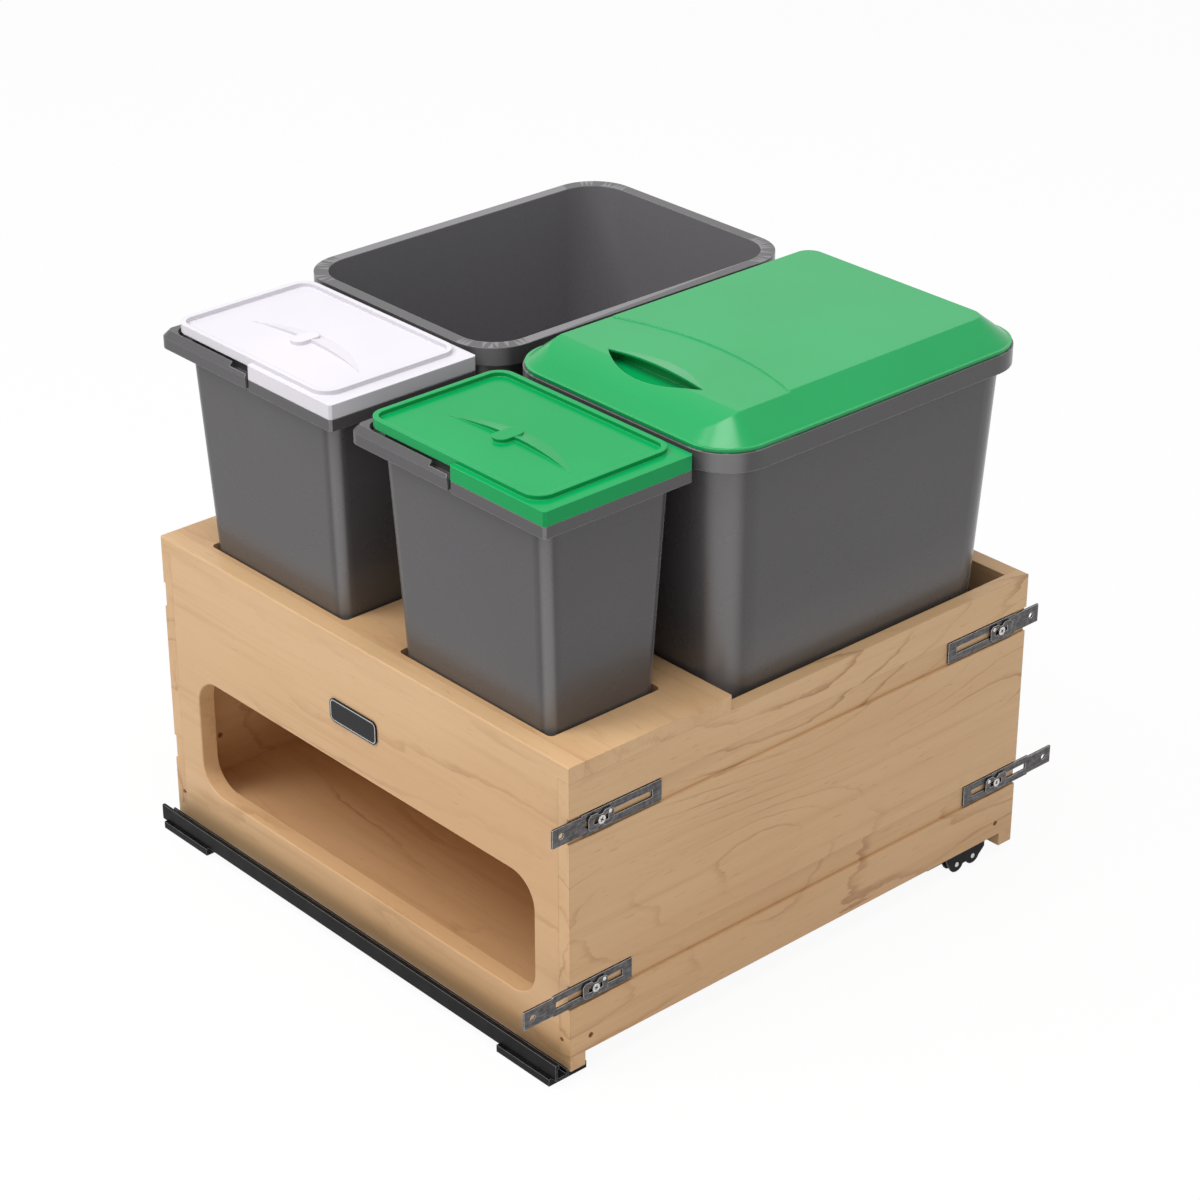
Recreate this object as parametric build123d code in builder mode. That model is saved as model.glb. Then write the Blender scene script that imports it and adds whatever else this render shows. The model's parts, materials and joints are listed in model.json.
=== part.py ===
from build123d import *
import math
import os

# Pull-out waste cabinet: a wooden tray on floor-fixed telescopic slides, with two large bins
# in a rear bay, two small bins hung through a top board, and an open storage compartment below.
# Millimetres. X runs to the right, Y to the rear, Z up. The origin is the middle of the tray in
# plan, on the cabinet floor that the slides are screwed to.

# ---------------------------------------------------------------- driving dimensions
# tray
box_width = 530.0
box_depth = 521.0
box_height = 278.0            # lower edge of the front panel to the top of the board
floor_gap = 8.0               # cabinet floor to the lower edge of the front panel
side_thick = 12.7
front_thick = 16.0
rear_thick = 16.0
board_thick = 14.0
base_thick = 12.0
divider_thick = 12.0
shelf_thick = 12.0
side_rise = 12.8              # lower edge of the side panels above that of the front panel
board_gap = 3.68              # rear edge of the top board to the body of a large bin
panel_ease = 0.8              # bevel round the storage opening
panel_round = 1.5             # top front edge of the front panel

# storage opening in the front panel
opening_width = 446.0
opening_sill = 45.0
opening_height = 112.5
opening_round = 27.0
shelf_above_opening = 0.5

# bracket grooves in the outer faces of the side panels
groove_height = 23.0
groove_depth = 2.3
upper_groove_level = 221.5    # groove middle above the lower edge of the front panel
lower_groove_level = 69.5

# bored holes
base_screw_bore = 5.0
base_screw_inset = 22.0       # from each end of a side panel
base_screw_level = 25.5
bumper_bore = 4.4
bumper_bore_depth = 14.0
bumper_level = 26.0
bumper_inset = 10.0           # from the outer face of a side panel
inner_bore = 5.0
inner_bore_depth = 6.0
inner_bore_level = 70.0
inner_bore_y = 40.0           # from the front face

# blank plaque
plaque_width = 61.0
plaque_height = 21.5
plaque_thick = 1.4
plaque_round = 5.5
plaque_level = 207.0

# small bins, measured from the middle of each bin
small_x = 127.5
small_setback = 11.5          # front face of the tray to the mouth of the body
small_top_x = 98.0            # half sizes of the body at its mouth
small_top_y = 67.0
small_base_x = 87.0
small_base_y = 50.5
small_round = 14.0
small_base_bevel = 3.0
small_height = 307.3
small_wall = 2.2
cut_gap_x = 2.0               # board to bin in each cut-out
cut_gap_y = 1.2
cut_round = 5.0
small_rim_over_x = 10.0       # wide part of the rim beyond the mouth
small_rim_over_y = 8.0
small_rim_drop = 10.0         # mouth to the top of the rim ledge
small_rim_band = 10.0
small_rim_thick = 2.4
small_rim_bevel = 2.0         # corners of the wide part of the rim, and of the skirt of the lid
rim_step_x = -1.5             # where the wide rim and the skirt of the lid start
lid_over_x = 12.0             # free left end of a lid beyond the mouth
lid_over_y = 2.5              # lid beyond the mouth beside the bail handle
lid_plate = 2.5
lid_gap = 0.2                 # lid to what it rests on
lid_lip = 1.8                 # turned-down edge of the narrow part
bead_width = 4.5
bead_height = 3.8
bead_round = 16.0
bead_end = 14.0               # bead to the right end of the lid
plug_depth = 8.0              # ribs under a lid, inside the mouth
plug_gap = 1.0
plug_wall = 2.0
plug_share = 0.7              # rib length to mouth length
grip_half = 72.0              # raised grip across the lid
grip_front = 17.0             # ends of the grip ahead of the middle of the lid
grip_bow = 8.0                # front face of the grip behind its ends, at the middle
grip_rise = 5.0
grip_run = 24.0
thumb_x = -10.0               # nose in the middle of the grip
thumb_width = 15.0
thumb_reach = 6.0

# bail handle of a small bin
pivot_x = -17.0               # from the middle of the bin
pivot_drop = 15.3             # mouth to the pivot axis
pivot_pin_r = 2.4
pivot_clearance = 0.08
bail_lead = 13.5              # handle bar beyond the end of the lid
bail_side = 6.7               # outer face of each arm beyond the lid
bail_wall = 2.6
bail_play = 0.7               # bail to rim ledge, sideways
bail_rest = 0.3               # bail above the rim ledge
bail_skirt = 8.5
bail_rise = 6.5
bail_bevel = 5.5
bail_end_r = 15.0             # rounded end of each arm, about the pivot
bail_round = 11.0
bail_inner_bevel = 5.0        # inner corners of the bail, and the rim corners inside them
bail_lid_gap = 0.7            # bail to the side of the lid
bail_end_gap = 3.8            # bail to the end of the lid
bail_flange_stop = 9.5        # end of the flange before the pivot

# large bins
large_rim_gap = 16.0          # between the rims of the two bins
large_rim_reach = 2.0         # rims beyond the sides of the tray
large_rim_inset = 15.0        # rims to the rear face of the tray
bin_gap = 1.3                 # bail handle of a small bin to the rim behind it
large_round = 42.0
large_height = 448.5
large_draft = 0.045           # inward run per unit of depth
large_wall = 2.4
large_rim_band = 16.0
large_rim_over = 8.5
large_base_bevel = 3.0

# lid of the right large bin
large_lid_inset = 1.5
large_lid_flange = 3.0
large_lid_rise = 23.0         # rim to the flat top
large_lid_dome_inset = 2.0    # flange edge to the foot of the slopes
large_lid_slope = 25.0        # run of the side and rear slopes
large_lid_front_slope = 47.0  # flange edge to the front crease
large_lid_crown = 4.0         # bulge of the front slope
large_lid_wall = 2.8
lid_step = 1.0                # band behind the front crease, sunk below the flat top up to an arched step
lid_step_run = 50.0
lid_step_arch = 15.0
finger_width = 110.0          # recess under the visor, centred on the lid
finger_reach = 20.0           # recess ahead of the front crease
finger_under = 9.0            # recess behind the front edge of the visor
finger_depth = 11.0           # flat top to the floor of the recess
visor_run = 17.0
visor_rise = 4.5
visor_thick = 2.2

# telescopic slides
slide_inset = 48.0            # middle of each slide to the side of the tray
slide_width = 42.0
slide_sheet = 1.6
slide_lip = 6.0
slide_start = 20.0            # from the front face
slide_end = 17.0              # tray runner to the rear face of the tray
slide_gap = 1.5               # cabinet track to tray runner
track_setback = 1.5           # cabinet track behind the front of the tray runner
track_height = 14.0
runner_height = 14.0
beam_web = 8.0
beam_flange = 1.8
beam_side_play = 0.4          # beam flange to channel wall, each side
beam_lip_play = 0.3
block_play = 0.1
block_length = 46.0
block_inset = 12.0
block_channel = 11.0          # way for screw heads along each block
floor_screw_spacing = 400.0
floor_screw_bore = 5.0
notch_clear = 3.0             # rear panel to slide

# rear bracket of each slide, on the cabinet floor
bracket_width = 6.0
bracket_length = 52.0
bracket_rear_inset = 17.0     # from the rear end of the track
bracket_sheet = 2.5
bracket_web_height = 21.0
bracket_bolt_r = 4.0
bracket_bolt_head = 2.2

# clip that ties each slide to the tray, behind the front panel
clip_inset = 3.0              # outer end to the side of the tray
clip_low = 13.0
clip_sheet = 2.5
clip_height = 7.4
clip_length = 34.0

# front cross rail on its two feet
rail_over = 2.0               # beyond the tray at each end
rail_front = 17.0             # rail face ahead of the front panel
rail_height = 14.5
rail_depth = 13.5
rail_sheet = 1.8
rail_back = 6.0
rail_lip_r = 1.9
foot_thick = 6.5
foot_width = 64.0
foot_lead = 2.5               # foot ahead of the rail
foot_inset = 3.4              # from the side of the tray
foot_stem_height = 18.5

# door brackets on the right side panel
plate_end_wall = 10.0         # slot to the inner end of a plate
plate_height = 19.0
plate_thick = 1.8
plate_play = 0.05             # plate to groove bottom, and clamp to plate
plate_tab = 30.0
plate_tab_height = 16.5
plate_hole_r = 2.6
plate_hole_inset = 9.0
slot_width = 6.2
slot_length = 70.0
slot_start = 33.0             # plate end to the near end of the slot
clamp_length = 26.0
clamp_height = 14.0
clamp_lobe = 9.0              # length of each wide end of a clamp
clamp_waist = 9.0
clamp_corner = 2.5
clamp_slot_length = 15.0
clamp_slot_width = 5.0
clamp_thick = 1.5
upper_reach = 16.5            # plate end beyond the tray face
lower_reach = 47.0
upper_screw = 32.0            # screw from the tray face
lower_screw = 26.0
screw_shank_r = 2.1
screw_head_r = 3.8
screw_head_h = 0.85
screw_depth = 7.0

# ---------------------------------------------------------------- worked-out levels and places
half_width = box_width / 2
half_depth = box_depth / 2
front_y = -half_depth
rear_y = half_depth
box_low = floor_gap
box_top = box_low + box_height
side_top = box_top - board_thick
side_low = box_low + side_rise
base_under = track_height + slide_gap + runner_height
base_top = base_under + base_thick
inner_x = half_width - side_thick
inner_front = front_y + front_thick
inner_rear = rear_y - rear_thick
sill_z = box_low + opening_sill
opening_top = sill_z + opening_height
shelf_under = opening_top + shelf_above_opening
shelf_top = shelf_under + shelf_thick
small_mouth = shelf_top + small_height
large_mouth = base_top + large_height
ledge_top = small_mouth - small_rim_drop
small_mid_y = front_y + small_setback + small_top_y
small_rim_x = small_top_x + small_rim_over_x
small_rim_y = small_top_y + small_rim_over_y
lid_end_x = small_top_x + lid_over_x
lid_narrow_y = small_top_y + lid_over_y
bail_end_x = lid_end_x + bail_lead
bail_half_y = lid_narrow_y + bail_side
large_front = small_mid_y + bail_half_y + bin_gap
large_rear = rear_y - large_rim_inset
large_mid_y = (large_front + large_rear) / 2
large_rim_y = (large_rear - large_front) / 2
large_rim_x = (half_width + large_rim_reach - large_rim_gap / 2) / 2
large_x = large_rim_gap / 2 + large_rim_x
board_rear = large_front + large_rim_over + large_draft * (large_mouth - box_top) - board_gap
slide_x = half_width - slide_inset
slide_outer = slide_x + slide_width / 2
slide_length = box_depth - slide_start - slide_end
slide_front = front_y + slide_start
track_front = slide_front + track_setback
track_rear = track_front + slide_length
runner_under = base_under - runner_height
pivot_z = small_mouth - pivot_drop
groove_bottom = half_width - groove_depth
plate_inner = groove_bottom + plate_play
clamp_inner = plate_inner + plate_thick + plate_play
plate_length = slot_start + slot_length + plate_end_wall
bracket_outer = slide_outer + bracket_width
clip_outer = half_width - clip_inset

os.makedirs("parts", exist_ok=True)


# the four door brackets: name, end of the tray (-1 front, +1 rear), level, reach and screw place
door_brackets = (
    ("front_upper", -1, box_low + upper_groove_level, upper_reach, upper_screw),
    ("front_lower", -1, box_low + lower_groove_level, lower_reach, lower_screw),
    ("rear_upper", 1, box_low + upper_groove_level, upper_reach, upper_screw),
    ("rear_lower", 1, box_low + lower_groove_level, lower_reach, lower_screw),
)
foot_x = half_width - foot_inset - foot_width / 2
stem_inner = foot_x - foot_width / 2
stem_x = (slide_outer + stem_inner) / 2
bracket_screw_places = [(end * (half_depth - screw), level) for _, end, level, _, screw in door_brackets]


def write(part, name):
    part.label = name
    export_step(part, "parts/" + name + ".step")


def tapered_block(low, high, base_half, top_half, corner, base_bevel=0.0, top_shift=0.0):
    """Solid with four plane, inclined sides and round upright corners.

    The lower edge may be bevelled, and the top may sit further to the rear than the base.
    """
    base_x, base_y = base_half
    top_x, top_y = top_half
    with BuildPart(mode=Mode.PRIVATE) as block:
        with BuildSketch(Plane.XZ):
            with BuildLine():
                Polyline((-base_x, low), (base_x, low), (top_x, high), (-top_x, high), close=True)
            make_face()
        extrude(amount=2 * max(base_y, top_y), both=True)
        with BuildSketch(Plane.YZ):
            with BuildLine():
                front_top = (top_shift - top_y, high)
                rear_top = (top_shift + top_y, high)
                Polyline((-base_y, low), (base_y, low), rear_top, front_top, close=True)
            make_face()
        extrude(amount=2 * max(base_x, top_x), both=True, mode=Mode.INTERSECT)
        middle = (low + high) / 2
        fillet(block.edges().filter_by_position(Axis.Z, middle - 1, middle + 1), corner)
        if base_bevel:
            chamfer(block.faces().sort_by(Axis.Z)[0].edges(), base_bevel)
    return block.part


def bevelled_rectangle(length, width, bevel):
    """Closed sketch of a rectangle with cut corners."""
    with BuildSketch(mode=Mode.PRIVATE) as plan:
        Rectangle(length, width)
        chamfer(plan.vertices(), bevel)
    return plan.sketch


def raised_crown(middle_x, front_y_level, level, half_length, rise, run):
    """Blade with an arched front edge whose top falls away to the rear until it meets a flat level."""
    with BuildPart(mode=Mode.PRIVATE) as crown:
        with BuildSketch(Plane((middle_x, front_y_level, level), x_dir=(1, 0, 0), z_dir=(0, -1, 0))):
            with BuildLine():
                ThreePointArc((-half_length, 0), (0, rise), (half_length, 0))
                Line((half_length, 0), (-half_length, 0))
            make_face()
        extrude(amount=(run**2 + rise**2) ** 0.5, dir=(0, run, -rise))
        with Locations((middle_x, front_y_level, level - rise)):
            Box(2 * half_length, 3 * run, 2 * rise, mode=Mode.SUBTRACT)
    return crown.part


# ---------------------------------------------------------------- tray panels
def side_panel(side):
    """Full-length side with two grooves for the door brackets in its outer face."""
    outer = side * half_width
    middle = side * (half_width - side_thick / 2)
    with BuildPart() as panel:
        with Locations((middle, 0, (side_low + side_top) / 2)):
            Box(side_thick, box_depth, side_top - side_low)
        for level in (upper_groove_level, lower_groove_level):
            with Locations((outer, 0, box_low + level)):
                Box(2 * groove_depth, box_depth, groove_height, mode=Mode.SUBTRACT)
        with Locations(
            Plane((middle, front_y + base_screw_inset, box_low + base_screw_level), z_dir=(1, 0, 0)),
            Plane((middle, rear_y - base_screw_inset, box_low + base_screw_level), z_dir=(1, 0, 0)),
        ):
            Cylinder(base_screw_bore / 2, side_thick, mode=Mode.SUBTRACT)
        bumper_x = side * (half_width - bumper_inset)
        with Locations(Plane((bumper_x, front_y, box_low + bumper_level), z_dir=(0, 1, 0))):
            Cylinder(bumper_bore / 2, 2 * bumper_bore_depth, mode=Mode.SUBTRACT)
        bore_place = (side * inner_x, front_y + inner_bore_y, box_low + inner_bore_level)
        with Locations(Plane(bore_place, z_dir=(1, 0, 0))):
            Cylinder(inner_bore / 2, 2 * inner_bore_depth, mode=Mode.SUBTRACT)
        if side > 0:
            with BuildSketch(Plane((groove_bottom, 0, 0), x_dir=(0, 1, 0), z_dir=(1, 0, 0))):
                with Locations(*bracket_screw_places):
                    RegularPolygon(screw_shank_r, 6)
            extrude(amount=-screw_depth, mode=Mode.SUBTRACT)
    return panel.part


write(side_panel(-1), "side_panel_left")
write(side_panel(1), "side_panel_right")

with BuildPart() as front_panel:
    with BuildSketch(Plane.XZ.offset(-front_y)):
        with Locations((0, (box_low + box_top) / 2)):
            Rectangle(box_width, box_height)
        for side in (-1, 1):
            with Locations((side * (inner_x + half_width) / 2, (side_low + side_top) / 2)):
                Rectangle(side_thick, side_top - side_low, mode=Mode.SUBTRACT)
        with Locations((0, (sill_z + opening_top) / 2)):
            RectangleRounded(opening_width, opening_height, opening_round, mode=Mode.SUBTRACT)
    extrude(amount=-front_thick)
    face_edges = front_panel.edges().filter_by_position(Axis.Y, front_y - 0.1, front_y + 0.1)
    opening_edges = face_edges.filter_by_position(Axis.Z, sill_z - 1, opening_top + 1)
    opening_edges = opening_edges.filter_by_position(Axis.X, -opening_width / 2 - 1, opening_width / 2 + 1)
    chamfer(opening_edges, panel_ease)
    fillet(face_edges.sort_by(Axis.Z)[-1], panel_round)
write(front_panel.part, "front_panel")

with BuildPart() as plaque:
    with BuildSketch(Plane.XZ.offset(-front_y)):
        with Locations((0, box_low + plaque_level)):
            RectangleRounded(plaque_width, plaque_height, plaque_round)
    extrude(amount=plaque_thick)
write(plaque.part, "blank_plaque")

with BuildPart() as rear_panel:
    with BuildSketch(Plane.XZ.offset(-rear_y)):
        with Locations((0, (box_low + side_top) / 2)):
            Rectangle(2 * inner_x, side_top - box_low)
        with Locations((0, (box_low + side_low) / 2)):
            Rectangle(box_width, side_low - box_low)
        notch_inner = slide_x - slide_width / 2 - notch_clear
        notch_outer = bracket_outer + notch_clear
        for side in (-1, 1):
            with Locations((side * (notch_inner + notch_outer) / 2, (box_low + base_under) / 2)):
                Rectangle(notch_outer - notch_inner, base_under - box_low, mode=Mode.SUBTRACT)
    extrude(amount=rear_thick)
write(rear_panel.part, "rear_panel")

with BuildPart() as base_panel:
    with Locations((0, (inner_front + inner_rear) / 2, base_under + base_thick / 2)):
        Box(2 * inner_x, inner_rear - inner_front, base_thick)
write(base_panel.part, "base_panel")

with BuildPart() as bay_divider:
    with Locations((0, board_rear - divider_thick / 2, (base_top + side_top) / 2)):
        Box(2 * inner_x, divider_thick, side_top - base_top)
write(bay_divider.part, "bay_divider")

with BuildPart() as bin_shelf:
    shelf_rear = board_rear - divider_thick
    with Locations((0, (inner_front + shelf_rear) / 2, shelf_under + shelf_thick / 2)):
        Box(2 * inner_x, shelf_rear - inner_front, shelf_thick)
write(bin_shelf.part, "bin_shelf")


def small_body_half(level):
    """Half sizes of a small bin's body at a level between its base and its mouth."""
    share = (level - shelf_top) / small_height
    half_x = small_base_x + (small_top_x - small_base_x) * share
    half_y = small_base_y + (small_top_y - small_base_y) * share
    return half_x, half_y


with BuildPart() as top_board:
    with BuildSketch(Plane.XY.offset(side_top)):
        with Locations((0, (inner_front + board_rear) / 2)):
            Rectangle(box_width, board_rear - inner_front)
        hole_half_x, hole_half_y = small_body_half(box_top)
        with Locations((-small_x, small_mid_y), (small_x, small_mid_y)):
            RectangleRounded(
                2 * (hole_half_x + cut_gap_x), 2 * (hole_half_y + cut_gap_y), cut_round, mode=Mode.SUBTRACT
            )
    extrude(amount=board_thick)
write(top_board.part, "top_board")


# ---------------------------------------------------------------- large bins
def large_half(depth):
    """Half sizes of a large bin's body at a depth below the top of its rim."""
    inward = large_rim_over + large_draft * depth
    return large_rim_x - inward, large_rim_y - inward


def large_bin(middle_x):
    """Deep tapered bin with a flat rim that is turned down at its outer edge."""
    base_z = large_mouth - large_height
    floor_depth = large_height - large_wall
    top_half = large_half(0)
    base_half = large_half(large_height)
    inner_base = [half - large_wall for half in large_half(floor_depth)]
    inner_top = [half - large_wall for half in top_half]
    body_round = large_round - large_rim_over / 2
    inner_round = body_round - large_wall
    with BuildPart() as body:
        with BuildSketch(Plane((middle_x, large_mid_y, large_mouth))):
            RectangleRounded(2 * large_rim_x, 2 * large_rim_y, large_round)
        extrude(amount=-large_rim_band)
        with BuildSketch(Plane((middle_x, large_mid_y, large_mouth - large_wall))):
            lip_x = large_rim_x - large_wall
            lip_y = large_rim_y - large_wall
            RectangleRounded(2 * lip_x, 2 * lip_y, large_round - large_wall)
        extrude(amount=-large_rim_band, mode=Mode.SUBTRACT)
        with Locations((middle_x, large_mid_y, 0)):
            add(tapered_block(base_z, large_mouth, base_half, top_half, body_round, large_base_bevel))
            add(
                tapered_block(base_z + large_wall, large_mouth, inner_base, inner_top, inner_round),
                mode=Mode.SUBTRACT,
            )
    return body.part


write(large_bin(-large_x), "large_bin_left")
write(large_bin(large_x), "large_bin_right")

lid_seat = large_mouth + lid_gap
dome_foot = lid_seat + large_lid_flange
flat_z = large_mouth + large_lid_rise
lid_edge_x = large_rim_x - large_lid_inset
lid_edge_y = large_rim_y - large_lid_inset
lid_front_y = large_mid_y - lid_edge_y
crease_y = lid_front_y + large_lid_front_slope


def lid_dome():
    """Outer form of the large lid above its flange."""
    dome_x = lid_edge_x - large_lid_dome_inset
    dome_y = lid_edge_y - large_lid_dome_inset
    rise = flat_z - dome_foot
    slant = math.degrees(math.atan(large_lid_slope / rise))
    foot = (large_mid_y - dome_y, dome_foot)
    crease = (crease_y, flat_z)
    bulge = ((foot[0] + crease[0]) / 2 - large_lid_crown / 2, (foot[1] + crease[1]) / 2 + large_lid_crown)
    above = flat_z + large_lid_rise
    ahead = foot[0] - large_lid_rise
    with BuildPart(mode=Mode.PRIVATE) as dome:
        with BuildSketch(Plane((large_x, large_mid_y, dome_foot))):
            RectangleRounded(2 * dome_x, 2 * dome_y, large_round - large_lid_inset - large_lid_dome_inset)
        extrude(amount=rise, taper=slant)
        # the longer front slope bulges a little
        with BuildSketch(Plane.YZ.offset(large_x)):
            with BuildLine():
                ThreePointArc(foot, bulge, crease)
                Polyline(crease, (crease_y, above), (ahead, above), (ahead, dome_foot), foot)
            make_face()
        extrude(amount=2 * dome_x, both=True, mode=Mode.SUBTRACT)
    return dome.part


def crescent(margin):
    """Plan of the finger recess: straight behind, bowed to the front, and larger by a margin."""
    half = finger_width / 2 + margin
    with BuildSketch(mode=Mode.PRIVATE) as plan:
        with BuildLine():
            Line((-half, finger_under + margin), (half, finger_under + margin))
            Line((half, finger_under + margin), (half, 0))
            ThreePointArc((half, 0), (0, -finger_reach - margin), (-half, 0))
            Line((-half, 0), (-half, finger_under + margin))
        make_face()
    return plan.sketch


with BuildPart() as large_lid:
    with BuildSketch(Plane((large_x, large_mid_y, lid_seat))):
        RectangleRounded(2 * lid_edge_x, 2 * lid_edge_y, large_round - large_lid_inset)
    extrude(amount=large_lid_flange)
    add(lid_dome())
    # hollow under the flange and the dome
    hollow_base = (lid_edge_x - large_rim_over, lid_edge_y - large_rim_over)
    side_run = large_lid_dome_inset + large_lid_slope + large_lid_wall
    rear_run = large_lid_dome_inset + large_lid_slope
    hollow_y = lid_edge_y - large_lid_wall - (large_lid_front_slope + rear_run) / 2
    hollow_shift = (large_lid_front_slope - rear_run) / 2
    with Locations((large_x, large_mid_y, 0)):
        add(
            tapered_block(
                lid_seat,
                flat_z - large_lid_wall,
                hollow_base,
                (lid_edge_x - side_run, hollow_y),
                large_round - large_rim_over,
                top_shift=hollow_shift,
            ),
            mode=Mode.SUBTRACT,
        )
    # band in front of the arched step, sunk below the flat top
    band_z = flat_z - lid_step
    with BuildSketch(Plane((large_x, crease_y, band_z))):
        with BuildLine():
            Line((-lid_edge_x, lid_step_run - lid_step_arch), (-lid_edge_x, -large_lid_front_slope))
            Line((-lid_edge_x, -large_lid_front_slope), (lid_edge_x, -large_lid_front_slope))
            Line((lid_edge_x, -large_lid_front_slope), (lid_edge_x, lid_step_run - lid_step_arch))
            ThreePointArc(
                (lid_edge_x, lid_step_run - lid_step_arch),
                (0, lid_step_run + lid_step_arch),
                (-lid_edge_x, lid_step_run - lid_step_arch),
            )
        make_face()
    extrude(amount=2 * lid_step, mode=Mode.SUBTRACT)
    # pan of the finger recess, kept inside the form of the dome, then the recess in it
    with BuildPart(mode=Mode.PRIVATE) as pan:
        with BuildSketch(Plane((large_x, crease_y, flat_z - finger_depth - large_lid_wall))):
            add(crescent(large_lid_wall))
        extrude(amount=finger_depth + large_lid_wall - lid_step)
        add(lid_dome(), mode=Mode.INTERSECT)
    add(pan.part)
    add(raised_crown(large_x, crease_y, band_z, finger_width / 2, visor_rise, visor_run))
    with BuildSketch(Plane((large_x, crease_y, flat_z - finger_depth))):
        with BuildLine():
            Line((-finger_width / 2, 0), (finger_width / 2, 0))
            ThreePointArc((finger_width / 2, 0), (0, -finger_reach), (-finger_width / 2, 0))
        make_face()
    extrude(amount=2 * finger_depth, mode=Mode.SUBTRACT)
    with BuildPart(mode=Mode.PRIVATE) as under_visor:
        with BuildSketch(Plane((large_x, crease_y, flat_z - finger_depth))):
            with Locations((0, finger_under / 2)):
                Rectangle(finger_width, finger_under)
        extrude(amount=finger_depth + visor_rise)
        add(
            raised_crown(large_x, crease_y, band_z - visor_thick, finger_width / 2, visor_rise, visor_run),
            mode=Mode.INTERSECT,
        )
    with BuildSketch(Plane((large_x, crease_y, flat_z - finger_depth))):
        with Locations((0, finger_under / 2)):
            Rectangle(finger_width, finger_under)
    extrude(amount=finger_depth - lid_step - visor_thick, mode=Mode.SUBTRACT)
    add(under_visor.part, mode=Mode.SUBTRACT)
write(large_lid.part, "large_bin_lid")


# ---------------------------------------------------------------- small bins
def small_bin(middle_x):
    """Tapered bin with a turned-down rim that is wide at the right and narrow beside the handle."""
    narrow_x = bail_end_x - bail_wall - bail_play
    narrow_y = bail_half_y - bail_wall - bail_play
    wide_mid = (rim_step_x + small_rim_x) / 2
    narrow_mid = (small_rim_x - small_rim_thick - narrow_x) / 2
    inner = small_rim_thick
    place = Plane((middle_x, small_mid_y, ledge_top))
    below = Plane((middle_x, small_mid_y, ledge_top - small_rim_thick))
    floor_z = shelf_top + small_wall
    base_half = (small_base_x, small_base_y)
    top_half = (small_top_x, small_top_y)
    inner_base = [half - small_wall for half in small_body_half(floor_z)]
    inner_top = [half - small_wall for half in top_half]
    with BuildPart() as body:
        with BuildSketch(place):
            with Locations((wide_mid, 0)):
                add(bevelled_rectangle(small_rim_x - rim_step_x, 2 * small_rim_y, small_rim_bevel))
            with Locations((narrow_mid, 0)):
                add(bevelled_rectangle(narrow_x + small_rim_x - inner, 2 * narrow_y, bail_inner_bevel))
        extrude(amount=-small_rim_band)
        with BuildSketch(below):
            with Locations((wide_mid, 0)):
                Rectangle(small_rim_x - rim_step_x - 2 * inner, 2 * (small_rim_y - inner))
            with Locations((narrow_mid, 0)):
                narrow_length = narrow_x + small_rim_x - 3 * inner
                add(bevelled_rectangle(narrow_length, 2 * (narrow_y - inner), bail_inner_bevel))
        extrude(amount=-small_rim_band, mode=Mode.SUBTRACT)
        with Locations(Plane((middle_x + pivot_x, small_mid_y, pivot_z), z_dir=(0, 1, 0))):
            Cylinder(pivot_pin_r + pivot_clearance, 4 * small_rim_y, mode=Mode.SUBTRACT)
        with Locations((middle_x, small_mid_y, 0)):
            add(tapered_block(shelf_top, small_mouth, base_half, top_half, small_round, small_base_bevel))
            add(
                tapered_block(floor_z, small_mouth, inner_base, inner_top, small_round - small_wall),
                mode=Mode.SUBTRACT,
            )
    return body.part


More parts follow.
